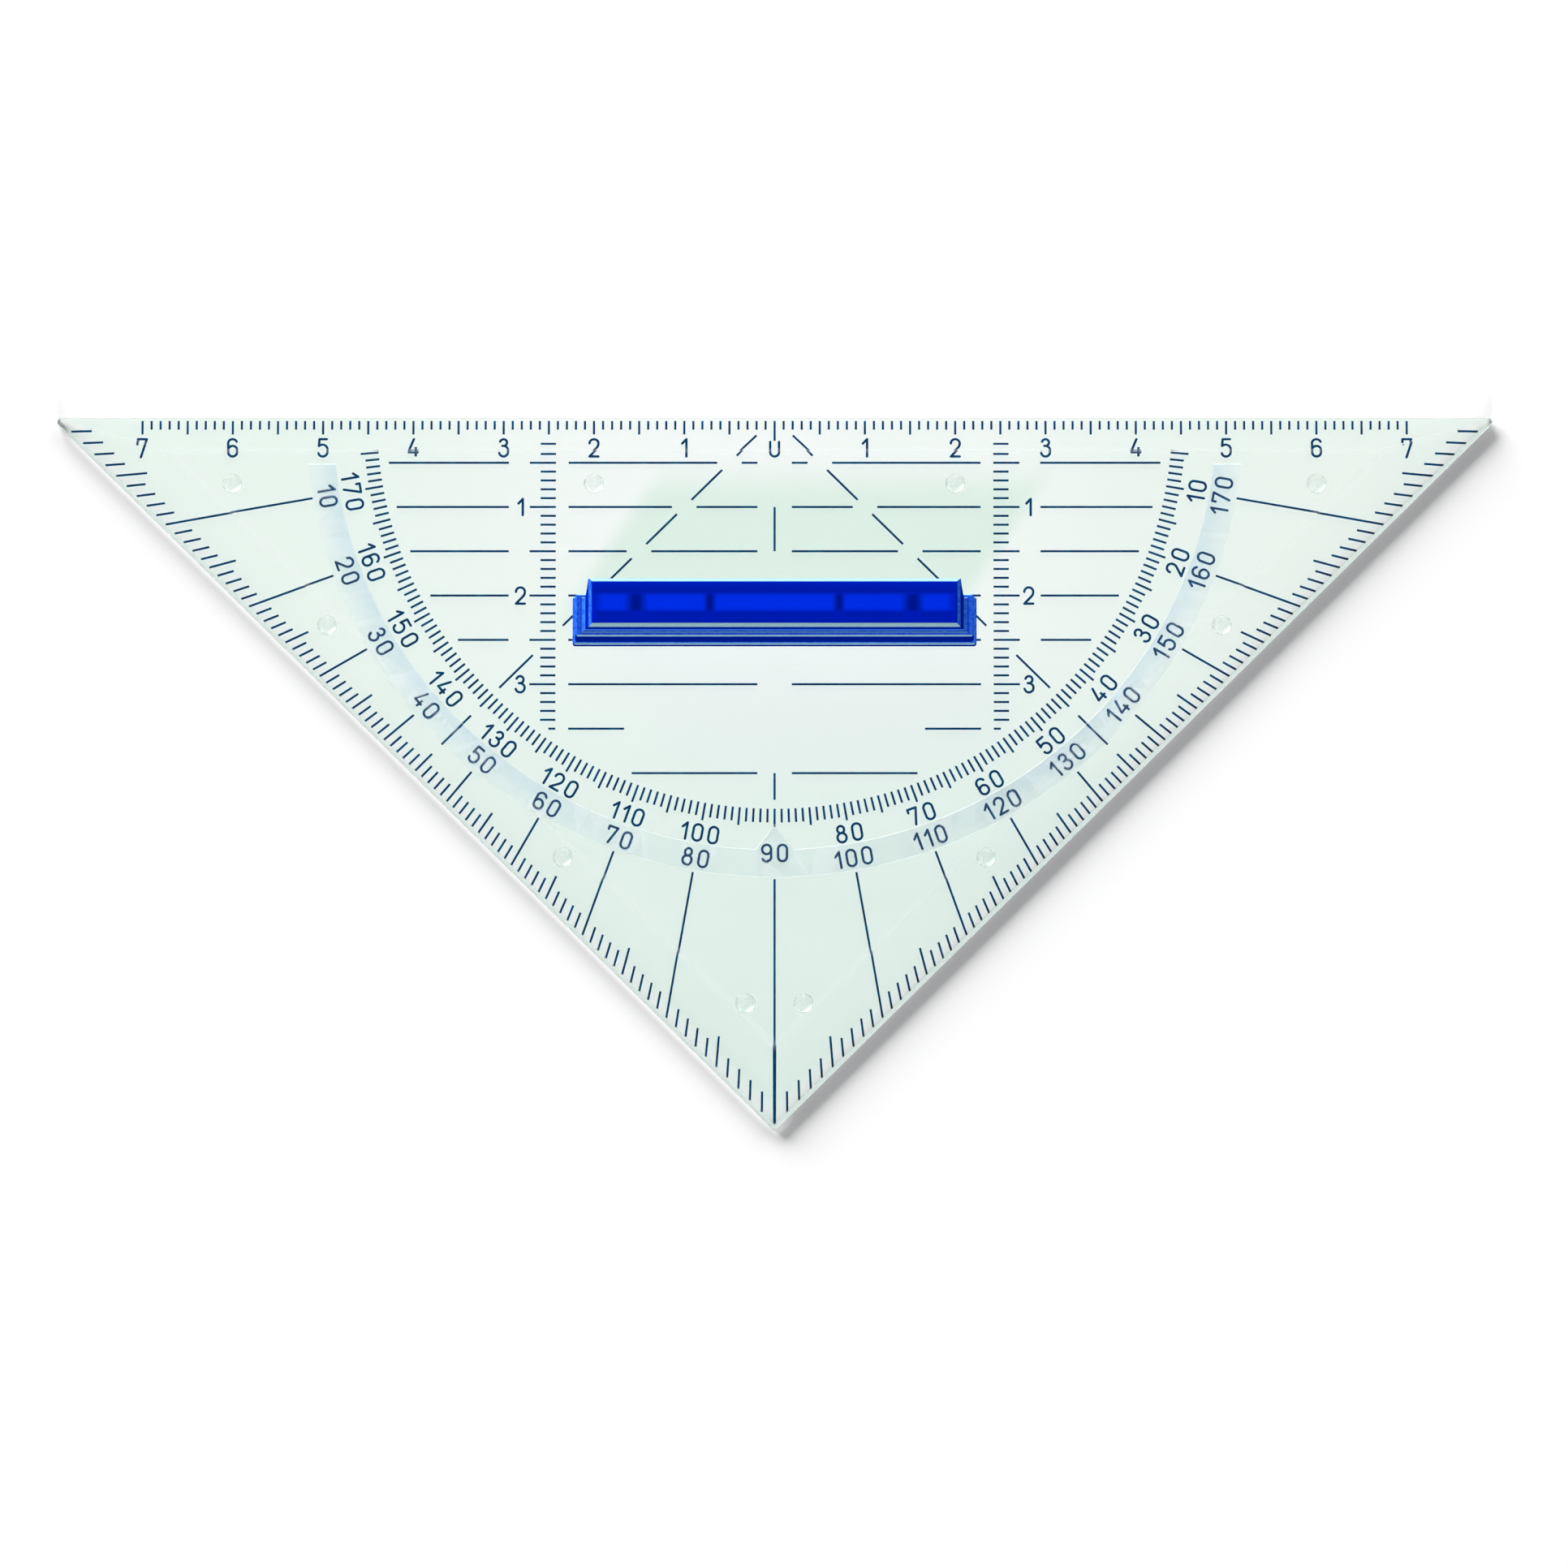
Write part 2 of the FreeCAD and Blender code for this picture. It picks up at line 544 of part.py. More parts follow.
class Print:
    """Makes ink solids on the underside of the plate from the sizes in the sheet."""

    def __init__(self, sheet):
        self.sheet = sheet
        self.level = self.size("knob_height") - self.size("ink_thickness")
        self.glyph_cache = {}
        # from the long edge and the legs
        half_height = self.size("numeral_height") / 2
        self.ruler_numerals = (self.size("ruler_tick_setin") + self.size("ruler_long_tick")
                               + self.size("ruler_numeral_gap") + half_height)
        self.leg_distance = self.size("hypotenuse") / 2 / ROOT_TWO
        # radii of the protractor, inside out
        self.arc_radius = self.leg_distance - self.size("protractor_setin")
        tick_end = self.arc_radius + self.size("degree_long_tick")
        self.inner_ring = tick_end + self.size("inner_ring_gap") + half_height
        self.outer_ring = self.inner_ring + 2 * half_height + self.size("outer_ring_gap")
        self.half_angle_start = tick_end + self.size("half_angle_gap")
        self.ray_start = self.outer_ring + half_height + self.size("ray_gap")
        # from the middle line of the plate to either side
        self.height_scale = self.arc_radius - self.size("height_scale_from_arc")
        half_width = self.size("numeral_width") / 2
        self.height_numerals = (self.height_scale + self.size("height_long_tick")
                                + self.size("height_numeral_gap") + half_width)
        self.inner_field = self.height_scale - self.size("inner_field_gap")
        self.outer_field = self.height_numerals + half_width + self.size("outer_field_gap")

    def size(self, name):
        return float(getattr(self.sheet, name))

    def bar(self, begin, finish, width):
        """A straight stroke with square ends, in the plane of its two points."""
        run = finish - begin
        bar = Part.makeBox(run.Length, width, self.size("ink_thickness"),
                           Vector(0, -width / 2, 0))
        bar.Placement = Placement(begin, Rotation(Vector(1, 0, 0), run))
        return bar

    def line(self, begin, finish):
        """A straight printed line between two points of the plate."""
        return self.bar(Vector(*begin, self.level), Vector(*finish, self.level),
                        self.size("line_width"))

    def polar(self, radius, degrees):
        """The point at a radius from the zero mark, degrees clockwise from +X."""
        angle = math.radians(degrees)
        return (radius * math.cos(angle), -radius * math.sin(angle))

    def radial(self, near, far, degrees):
        return self.line(self.polar(near, degrees), self.polar(far, degrees))

    def leg_radius(self, setin, degrees):
        """How far from the zero mark a ray comes within setin of the nearer leg."""
        angle = math.radians(degrees)
        reach = ROOT_TWO * (self.leg_distance - setin)
        return reach / (abs(math.cos(angle)) + math.sin(angle))

    def spot(self, along, up):
        """A point of the numerals' unit box, in millimetres."""
        stroke = self.size("numeral_stroke")
        return Vector(along * (self.size("numeral_width") - stroke) + stroke / 2,
                      up * (self.size("numeral_height") - stroke) + stroke / 2, 0)

    def stroke(self, steps):
        """One pen stroke of a numeral as a solid, in the plane Z = 0."""
        width = self.size("numeral_stroke")
        here = self.spot(*steps[0])
        if len(steps) == 2:
            return self.bar(here, self.spot(*steps[1]), width)
        edges = []
        for step in steps[1:]:
            there = self.spot(*step[-2:])
            curve = (Part.Arc(here, self.spot(*step[:2]), there) if len(step) == 4
                     else Part.LineSegment(here, there))
            edges.append(curve.toShape())
            here = there
        wire = Part.Wire(edges)
        if wire.isClosed():
            rims = [wire.makeOffset2D(side * width / 2) for side in (1, -1)]
            face = Part.makeFace(rims, "Part::FaceMakerBullseye")
        else:
            face = Part.Face(wire.makeOffset2D(width / 2, 0, False, False, False))
        return face.extrude(Vector(0, 0, self.size("ink_thickness")))

    def glyph(self, digit):
        """One numeral with its lower left corner at the origin, in the plane Z = 0."""
        if digit in TURNED_GLYPHS:
            turned = self.glyph(TURNED_GLYPHS[digit])
            turned.rotate(self.spot(0.5, 0.5), Z_AXIS, HALF_TURN)
            return turned
        if digit not in self.glyph_cache:
            strokes = [self.stroke(steps) for steps in GLYPHS[digit]]
            whole = strokes[0].multiFuse(strokes[1:]) if len(strokes) > 1 else strokes[0]
            self.glyph_cache[digit] = whole.removeSplitter()
        return self.glyph_cache[digit].copy()

    def glyph_width(self, digit):
        stroke = self.size("numeral_stroke")
        return NARROW_GLYPHS.get(digit, 1.0) * (self.size("numeral_width") - stroke) + stroke

    def number(self, value, centre, turn=0.0):
        """A printed number about its centre, turned anticlockwise by turn degrees."""
        gap = self.size("numeral_gap")
        text = str(value)
        along = -(sum(self.glyph_width(digit) for digit in text) + gap * (len(text) - 1)) / 2
        place = Placement(Vector(*centre, self.level), Rotation(Z_AXIS, turn))
        glyphs = []
        for digit in text:
            shape = self.glyph(digit)
            own = Placement(Vector(along, -self.size("numeral_height") / 2, 0), Rotation())
            shape.Placement = place * own * shape.Placement
            glyphs += shape.Solids
            along += self.glyph_width(digit) + gap
        return glyphs

    def ring_number(self, value, radius, degrees):
        """A number on a ring round the zero mark, its head towards that mark."""
        return self.number(value, self.polar(radius, degrees), RIGHT_ANGLE - degrees)

    def field_edge(self, setin):
        """How far out a line at this distance from the long edge reaches under the arc."""
        radius = self.arc_radius - self.size("field_clearance")
        return math.sqrt(max(radius ** 2 - setin ** 2, 0))

    def rows(self, last):
        """Distances from the long edge of the parallel lines that lie under the arc."""
        pitch = self.size("field_pitch")
        count = int(self.size(last) / pitch + SAME)
        distances = [pitch * i for i in range(1, count + 1)]
        return [distance for distance in distances if self.field_edge(distance) > 0]


def ruler_ticks(ink):
    """Millimetre ticks along the long edge, longer every 5 mm and longest at zero."""
    solids = []
    reach = int(ink.size("ruler_half_range"))
    top = -ink.size("ruler_tick_setin")
    for millimetre in range(-reach, reach + 1):
        name = "ruler_long_tick" if millimetre % 5 == 0 else "ruler_tick"
        name = "ruler_zero_tick" if millimetre == 0 else name
        solids.append(ink.line((millimetre, top), (millimetre, top - ink.size(name))))
    return solids


def ruler_numerals(ink):
    """Centimetres counted both ways from the zero mark."""
    last = int(ink.size("ruler_half_range") / CENTIMETRE)
    solids = []
    for centimetre in range(1, last + 1):
        for side in (-1, 1):
            centre = (side * CENTIMETRE * centimetre, -ink.ruler_numerals)
            solids += ink.number(centimetre, centre)
    return solids


def zero_mark(ink):
    """The nought under the zero tick, open at its top."""
    return ink.number("o", (0, -ink.ruler_numerals))


def protractor_ticks(ink):
    """One tick a degree, longer every 5 degrees."""
    solids = []
    for degree in ARC_DEGREES:
        name = "degree_long_tick" if degree % 5 == 0 else "degree_tick"
        solids.append(ink.radial(ink.arc_radius, ink.arc_radius + ink.size(name), degree))
    return solids


def inner_degree_numerals(ink):
    """Degrees counted clockwise, on the ring next to the ticks."""
    solids = []
    for degree in NUMBERED_DEGREES:
        if degree != RIGHT_ANGLE:
            solids += ink.ring_number(degree, ink.inner_ring, degree)
    return solids


def outer_degree_numerals(ink):
    """Degrees counted anticlockwise, on the band, with the one 90 that both counts share."""
    shared_ring = (ink.inner_ring + ink.outer_ring) / 2 + ink.size("shared_numeral_drop")
    solids = ink.ring_number(RIGHT_ANGLE, shared_ring, RIGHT_ANGLE)
    for degree in NUMBERED_DEGREES:
        if degree != RIGHT_ANGLE:
            solids += ink.ring_number(HALF_TURN - degree, ink.outer_ring, degree)
    return solids


def angle_rays(ink):
    """A ray every 10 degrees, from the numerals to the legs."""
    setin = ink.size("leg_tick_setin")
    return [ink.radial(ink.ray_start, ink.leg_radius(setin, degree), degree)
            for degree in NUMBERED_DEGREES]


def half_right_angle_marks(ink):
    """The unnumbered marks halfway to the right angle, across both rings of numerals."""
    return [ink.radial(ink.half_angle_start, ink.ray_start, degree)
            for degree in HALF_RIGHT_ANGLES]


def leg_ticks(ink, degrees):
    """Degree ticks along a leg, all pointing at the zero mark, longer every 5 degrees."""
    solids = []
    outer = ink.size("leg_tick_setin")
    for degree in degrees:
        if degree not in NUMBERED_DEGREES:
            name = "leg_long_tick" if degree % 5 == 0 else "leg_tick"
            near = ink.leg_radius(outer + ink.size(name), degree)
            solids.append(ink.radial(near, ink.leg_radius(outer, degree), degree))
    return solids


def height_scale(ink, side):
    """Millimetres counted from the long edge down to the arc, beside the inner field."""
    solids = []
    near = ink.height_scale
    for millimetre in range(int(ink.size("height_first")), int(ink.arc_radius)):
        name = "height_long_tick" if millimetre % 5 == 0 else "height_tick"
        far = min(near + ink.size(name), ink.field_edge(millimetre))
        if far - near > ink.size("line_width"):
            solids.append(ink.line((side * near, -millimetre), (side * far, -millimetre)))
    return solids


def height_numerals(ink):
    """Centimetres from the long edge, beside both height scales, where the arc leaves room."""
    solids = []
    outside = ink.height_numerals + ink.size("numeral_width") / 2
    for centimetre in range(1, int(ink.arc_radius / CENTIMETRE) + 1):
        below = CENTIMETRE * centimetre + ink.size("numeral_height") / 2
        if ink.field_edge(below) > outside:
            for side in (-1, 1):
                centre = (side * ink.height_numerals, -CENTIMETRE * centimetre)
                solids += ink.number(centimetre, centre)
    return solids


def outer_field(ink, side):
    """Lines parallel to the long edge, between a height scale and the degree arc."""
    return [ink.line((side * ink.outer_field, -row), (side * ink.field_edge(row), -row))
            for row in ink.rows("outer_field_last")]


def inner_field(ink):
    """Lines parallel to the long edge between the height scales, open at the diagonals."""
    solids = []
    gap = ink.size("diagonal_line_gap")
    for row in ink.rows("inner_field_last"):
        begin = ink.size("inner_field_start")
        if abs(row - ink.size("bare_panel_line")) < ink.size("field_pitch") / 2:
            begin = ink.size("bare_panel_half_width")
        finish = min(ink.inner_field, ink.field_edge(row))
        runs = [(begin, finish)]
        if row < ink.inner_field:
            runs = [(begin, row - gap), (row + gap, finish)]
        solids += [ink.line((side * near, -row), (side * far, -row))
                   for near, far in runs for side in (-1, 1) if far > near]
    return solids


def diagonal_lines(ink):
    """The lines at 45 degrees through the zero mark, open where other lines cross them."""
    gap = ink.size("diagonal_gap")
    scale_cut = (ink.height_scale - gap, ink.height_scale + ink.size("height_tick") + gap)
    finish = (ink.arc_radius - ink.size("field_clearance")) / ROOT_TWO
    cuts = [(row - gap, row + gap) for row in ink.rows("inner_field_last")
            if row + gap < scale_cut[0]]
    cuts.append(scale_cut)
    solids = []
    begin = ink.size("diagonal_start")
    for low, high in cuts + [(finish, finish)]:
        solids += [ink.line((side * begin, -begin), (side * low, -low)) for side in (-1, 1)]
        begin = high
    return solids


def centre_line(ink):
    """The two short lines under the zero mark."""
    spans = [(ink.size("centre_line_start"), ink.size("centre_line_end")),
             (ink.rows("inner_field_last")[-1], ink.arc_radius - ink.size("field_clearance"))]
    return [ink.line((0, -near), (0, -far)) for near, far in spans]


def make_prints(doc, sheet):
    """Every printed scale as an object of its own."""
    ink = Print(sheet)
    scales = {
        "ruler_ticks": ruler_ticks(ink),
        "ruler_numerals": ruler_numerals(ink),
        "zero_mark": zero_mark(ink),
        "protractor_ticks": protractor_ticks(ink),
        "inner_degree_numerals": inner_degree_numerals(ink),
        "outer_degree_numerals": outer_degree_numerals(ink),
        "angle_rays": angle_rays(ink),
        "half_right_angle_marks": half_right_angle_marks(ink),
        "right_leg_ticks": leg_ticks(ink, RIGHT_LEG_DEGREES),
        "left_leg_ticks": leg_ticks(ink, LEFT_LEG_DEGREES),
        "right_height_scale": height_scale(ink, 1),
        "left_height_scale": height_scale(ink, -1),
        "height_numerals": height_numerals(ink),
        "right_parallel_lines": outer_field(ink, 1),
        "left_parallel_lines": outer_field(ink, -1),
        "middle_parallel_lines": inner_field(ink),
        "diagonal_lines": diagonal_lines(ink),
        "centre_line": centre_line(ink),
    }
    outline_height = ink.size("hypotenuse") / 2 - ink.size("corner_round") * (ROOT_TWO - 1)
    made = []
    for label, solids in scales.items():
        feature = doc.addObject("Part::Feature", label)
        feature.Label = label
        feature.Shape = Part.makeCompound(solids)
        feature.Placement = Placement(Vector(0, outline_height / 2, 0), Rotation())
        made.append(feature)
    return made


# ---------------------------------------------------------------- the whole set square

def check(doc, pieces):
    """Stops if any object failed or any sub-part has no sound shape."""
    for thing in doc.Objects:
        if "Invalid" in thing.State or "Error" in thing.State:
            raise RuntimeError(f"{thing.Label}: {thing.State}")
    for piece in pieces:
        shape = piece.Shape
        if shape.isNull() or not shape.isValid() or not shape.Solids:
            raise RuntimeError(f"{piece.Label} has no valid solid")


def main():
    doc = FreeCAD.newDocument("SetSquare")
    sheet = make_sheet(doc)
    doc.recompute()
    pieces = [make_plate(doc), make_band(doc), make_handle(doc)]
    pieces += make_prints(doc, sheet)
    doc.recompute()
    check(doc, pieces)
    os.makedirs("parts", exist_ok=True)
    for piece in pieces:
        piece.Shape.exportStep(os.path.join("parts", f"{piece.Label}.step"))
        box = piece.Shape.BoundBox
        print(f"{piece.Label}: {len(piece.Shape.Solids)} solids, {piece.Shape.Volume:.2f} mm3, "
              f"x {box.XMin:.2f}..{box.XMax:.2f}, y {box.YMin:.2f}..{box.YMax:.2f}, "
              f"z {box.ZMin:.2f}..{box.ZMax:.2f}")


main()
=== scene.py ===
"""Looks of the geometry set square: clear plate, printed scales, tinted band and blue handle.

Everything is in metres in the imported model's frame: +X along the long drawing edge, +Y towards
that edge, +Z up from the paper.
"""
import math

import bpy
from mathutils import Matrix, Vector


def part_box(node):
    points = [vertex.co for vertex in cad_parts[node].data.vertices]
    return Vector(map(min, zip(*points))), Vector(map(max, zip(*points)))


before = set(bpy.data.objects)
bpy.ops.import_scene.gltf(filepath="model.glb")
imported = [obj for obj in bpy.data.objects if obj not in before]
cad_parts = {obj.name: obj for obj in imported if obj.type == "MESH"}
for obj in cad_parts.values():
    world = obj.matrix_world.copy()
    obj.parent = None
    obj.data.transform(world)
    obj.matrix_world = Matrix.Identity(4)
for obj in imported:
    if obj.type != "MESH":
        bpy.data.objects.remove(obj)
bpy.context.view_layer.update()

MM = 0.001

PLATE_LOW, PLATE_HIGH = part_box("plate")
HANDLE_LOW, HANDLE_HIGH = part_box("grip_handle")
# The zero mark of the ruler lies on the long edge, over the middle of the outline.
ZERO_MARK = Vector((0, PLATE_HIGH.y, 0))

# Widths of the bevels round the plate, and the radii of the band's channel in it.
RULER_BEVEL = 3.9 * MM
LEG_BEVEL = 6.4 * MM
BAND_INNER_RADIUS = 48.85 * MM
BAND_OUTER_RADIUS = 51.9 * MM

# Heights on the plate: its underside, and just under that, where only knobs are.
UNDERSIDE = 0.4 * MM
KNOB_ROOT = 0.39 * MM

# Heights between which the handle has the finish of its ledges, and of the cove over them.
LEDGES_LOW = 3.2 * MM
LEDGES_HIGH = 6.52 * MM
COVE_LOW = 6.55 * MM
COVE_HIGH = 7.6 * MM

# How far the painted light over the handle's slot reaches to each side of its middle, and where
# its ribs
# and tongue roots get painted shade: their middles, and half the width of the shade.
SLOT_HALF_WIDTH = 0.9 * MM
SLOT_HALF_LENGTH = 19.4 * MM
RIB_MIDDLE = 7.1 * MM
RIB_SHADE_HALF = 0.45 * MM
TONGUE_MIDDLE = 15.2 * MM
TONGUE_SHADE_HALF = 0.8 * MM

# How softly a finish ends at a crisp edge.
CRISP = 0.05 * MM

# A ray that reaches the plate after more bounces than this takes up the light that falls there.
TRAPPED_DEPTH = 1.5

PLATE_IOR = 1.49
HANDLE_IOR = 1.53

INK_NODES = [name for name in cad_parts
             if name not in ("plate", "grip_handle", "protractor_band")]

# Each light's name, place, width, height and brightness.
LIGHTS = (
    ("key", (-3.5, 4.7, 2.5), 5.4, 5.4, 10.9),
    ("fill", (3.5, 4.7, 2.75), 5.4, 5.4, 2.0),
    ("front", (0.0, -1.09, 0.51), 0.08, 0.7, 26.0),
    ("back", (0.0, 1.15, 0.40), 0.12, 0.5, 6.0),
)


# ---------------------------------------------------------------- materials

class Graph:
    """A material's node tree, with short ways to add nodes and join them."""

    def __init__(self, name):
        self.material = bpy.data.materials.new(name)
        self.material.use_nodes = True
        self.tree = self.material.node_tree
        self.tree.nodes.clear()

    def put(self, socket, value):
        """Joins a socket to another one, or sets its value."""
        if isinstance(value, bpy.types.NodeSocket):
            self.tree.links.new(value, socket)
        else:
            socket.default_value = value

    def add(self, kind, inputs, output=0, **settings):
        """Adds a node, sets and joins its inputs, and returns one of its outputs."""
        node = self.tree.nodes.new(kind)
        for name, value in settings.items():
            setattr(node, name, value)
        for name, value in inputs.items():
            self.put(node.inputs[name], value)
        return node.outputs[output]

    def finish(self, surface, volume=None):
        """Joins the shaders to the material's output and returns the material."""
        output = self.tree.nodes.new("ShaderNodeOutputMaterial")
        self.put(output.inputs["Surface"], surface)
        if volume is not None:
            self.put(output.inputs["Volume"], volume)
        return self.material

    # Where on the model a point lies and which way it faces.

    def place(self):
        """The point on the surface, in metres in the model's frame."""
        return self.add("ShaderNodeTexCoord", {}, output="Object")

    def axis(self, letter):
        """One coordinate of the point on the surface."""
        return self.add("ShaderNodeSeparateXYZ", {"Vector": self.place()}, output=letter)

    def facing(self, letter):
        """How far the surface faces along an axis of the model, from -1 to 1."""
        normal = self.add("ShaderNodeTexCoord", {}, output="Normal")
        return self.add("ShaderNodeSeparateXYZ", {"Vector": normal}, output=letter)

    def steepness(self):
        """One on upright walls, nought on level faces."""
        return self.spread(self.absolute(self.facing("Z")), 0.6, 0.2, smooth=True)

    def rounded(self):
        """One on rounded edges and coves, nought on level faces and upright walls."""
        return self.near(self.facing("Z"), 0.2, 0.9, 0.06)

    def from_zero_mark(self):
        """How far a point lies from the ruler's zero mark, seen from above, in metres."""
        offset = self.add("ShaderNodeVectorMath", {0: self.place(), 1: ZERO_MARK},
                          operation="SUBTRACT")
        flat = self.add("ShaderNodeVectorMath", {0: offset, 1: (1, 1, 0)}, operation="MULTIPLY")
        return self.add("ShaderNodeVectorMath", {0: flat}, output="Value", operation="LENGTH")

    def from_leg(self):
        """How far a point lies inside the nearer leg of the outline, in metres."""
        across = self.minus(self.axis("Y"), self.absolute(self.axis("X")))
        inside = self.minus(across, PLATE_LOW.y)
        return self.times(inside, math.sqrt(0.5))

    # Sums with values.

    def calculate(self, operation, first, second=0.0):
        return self.add("ShaderNodeMath", {0: first, 1: second}, operation=operation)

    def times(self, first, second):
        return self.calculate("MULTIPLY", first, second)

    def minus(self, first, second):
        return self.calculate("SUBTRACT", first, second)

    def largest(self, first, *others):
        """The largest of some values."""
        for other in others:
            first = self.calculate("MAXIMUM", first, other)
        return first

    def absolute(self, value):
        return self.calculate("ABSOLUTE", value)

    def spread(self, value, low, high, to_low=0.0, to_high=1.0, smooth=False):
        """Maps a range of a value to another range."""
        return self.add("ShaderNodeMapRange",
                        {"Value": value, "From Min": low, "From Max": high,
                         "To Min": to_low, "To Max": to_high},
                        interpolation_type="SMOOTHSTEP" if smooth else "LINEAR")

    def near(self, value, low, high, soft):
        """One between two values and nought outside them, with soft ends."""
        rise = self.spread(value, low - soft, low + soft, smooth=True)
        fall = self.spread(value, high + soft, high - soft, smooth=True)
        return self.times(rise, fall)

    # Textures, colours and shaders.

    def noise(self, scale, detail=2.0):
        """Cloudy noise, with its scale per metre."""
        return self.add("ShaderNodeTexNoise", {"Vector": self.place(), "Scale": scale,
                                               "Detail": detail})

    def bump(self, height, distance):
        return self.add("ShaderNodeBump", {"Height": height, "Distance": distance})

    def blend(self, factor, first, second):
        """A colour between two colours."""
        node = self.tree.nodes.new("ShaderNodeMix")
        node.data_type = "RGBA"
        first_colour, second_colour = node.inputs[6], node.inputs[7]
        blended = node.outputs[2]
        self.put(node.inputs["Factor"], factor)
        self.put(first_colour, first)
        self.put(second_colour, second)
        return blended

    def mix(self, factor, first, second):
        """A shader between two shaders."""
        return self.add("ShaderNodeMixShader", {0: factor, 1: first, 2: second})

    def by_light(self):
        """One for rays that carry light to what lies below, nought for what is looked at."""
        lamp = self.add("ShaderNodeLightPath", {}, output="Is Shadow Ray")
        scattered = self.add("ShaderNodeLightPath", {}, output="Is Diffuse Ray")
        return self.largest(lamp, scattered)

    def trapped(self):
        """One for rays that have bounced about inside clear plastic for a while."""
        depth = self.add("ShaderNodeLightPath", {}, output="Ray Depth")
        return self.calculate("GREATER_THAN", depth, TRAPPED_DEPTH)

    def for_light(self, surface, tint):
        """The surface, which lets lamps and scattered light straight through with a tint."""
        clear = self.add("ShaderNodeBsdfTransparent", {"Color": tint})
        return self.mix(self.by_light(), surface, clear)


def colour(red, green, blue):
    """An opaque colour."""
    return (red, green, blue, 1.0)


def ridges(graph):
    """One along the lines where the bevels of the plate meet the flat face and each other."""
    sharp, faded = 0.02, 0.09
    from_edge = graph.minus(PLATE_HIGH.y, graph.axis("Y"))
    ruler_slope = graph.calculate("DIVIDE", from_edge, RULER_BEVEL)
    leg_slope = graph.calculate("DIVIDE", graph.from_leg(), LEG_BEVEL)
    lower = graph.calculate("MINIMUM", ruler_slope, leg_slope)
    higher = graph.calculate("MINIMUM", graph.largest(ruler_slope, leg_slope), 1.0)
    apart = graph.absolute(graph.minus(lower, higher))
    line = graph.spread(apart, faded, sharp, smooth=True)
    # Only the upper side has bevels.
    upper_side = graph.spread(graph.axis("Z"), 1.2 * MM, 1.5 * MM)
    return graph.times(line, upper_side)


def handle_shade(graph):
    """One in the soft shade behind the handle, which leans to the right."""
    lean = 0.67
    begin, finish = -3.0 * MM, 13.5 * MM
    left, right = -22.3 * MM, 21.0 * MM
    behind = graph.minus(graph.axis("Y"), HANDLE_HIGH.y)
    along = graph.minus(graph.axis("X"), graph.times(behind, lean))
    deep = graph.near(behind, begin, finish, 2.5 * MM)
    return graph.times(deep, graph.near(along, left, right, 1.5 * MM))


def plate_tint(graph, from_leg):
    """Faint green, palest round the zero mark and, as painted light, along the legs, with the
    handle's painted shade.
    """
    middle, outside = colour(0.93, 0.968, 0.948), colour(0.85, 0.935, 0.88)
    towards_corner = colour(0.725, 0.85, 0.795)
    cloudy = colour(0.79, 0.915, 0.85)
    shaded = colour(0.76, 0.895, 0.81)
    painted_light_leg_rim = colour(0.97, 1.0, 0.98)
    outer = graph.spread(graph.from_zero_mark(), 20 * MM, 52 * MM, smooth=True)
    lower = graph.spread(graph.axis("Y"), 12 * MM, -38 * MM)
    cloud = graph.spread(graph.noise(14.0, detail=3.0), 0.35, 0.65, 0.0, 0.3, smooth=True)
    tint = graph.blend(outer, middle, outside)
    tint = graph.blend(lower, tint, towards_corner)
    tint = graph.blend(cloud, tint, cloudy)
    tint = graph.blend(handle_shade(graph), tint, shaded)
    # Painted light along the legs lifts the shade that their rims throw on the paper under the
    # plate.
    return graph.blend(graph.spread(from_leg, 2.0 * MM, 0.8 * MM, 0.0, 0.7), tint, painted_light_leg_rim)


def light_through_plate(graph, from_leg, wall):
    """What the plate lets down to the paper: little at the rims of its legs, else nearly all.

    The underside counts as rim along the right leg only, where the shadow shows.
    """
    clear, dark = colour(0.985, 0.99, 0.9875), colour(0.08, 0.085, 0.09)
    rim = graph.times(wall, graph.spread(from_leg, 1.0 * MM, 0.6 * MM))
    below = graph.times(graph.spread(graph.axis("Z"), 0.5 * MM, 0.45 * MM),
                        graph.spread(from_leg, 1.3 * MM, 0.5 * MM))
    right_half = graph.spread(graph.axis("X"), -2.0 * MM, 2.0 * MM)
    return graph.blend(graph.largest(rim, graph.times(below, right_half)), clear, dark)


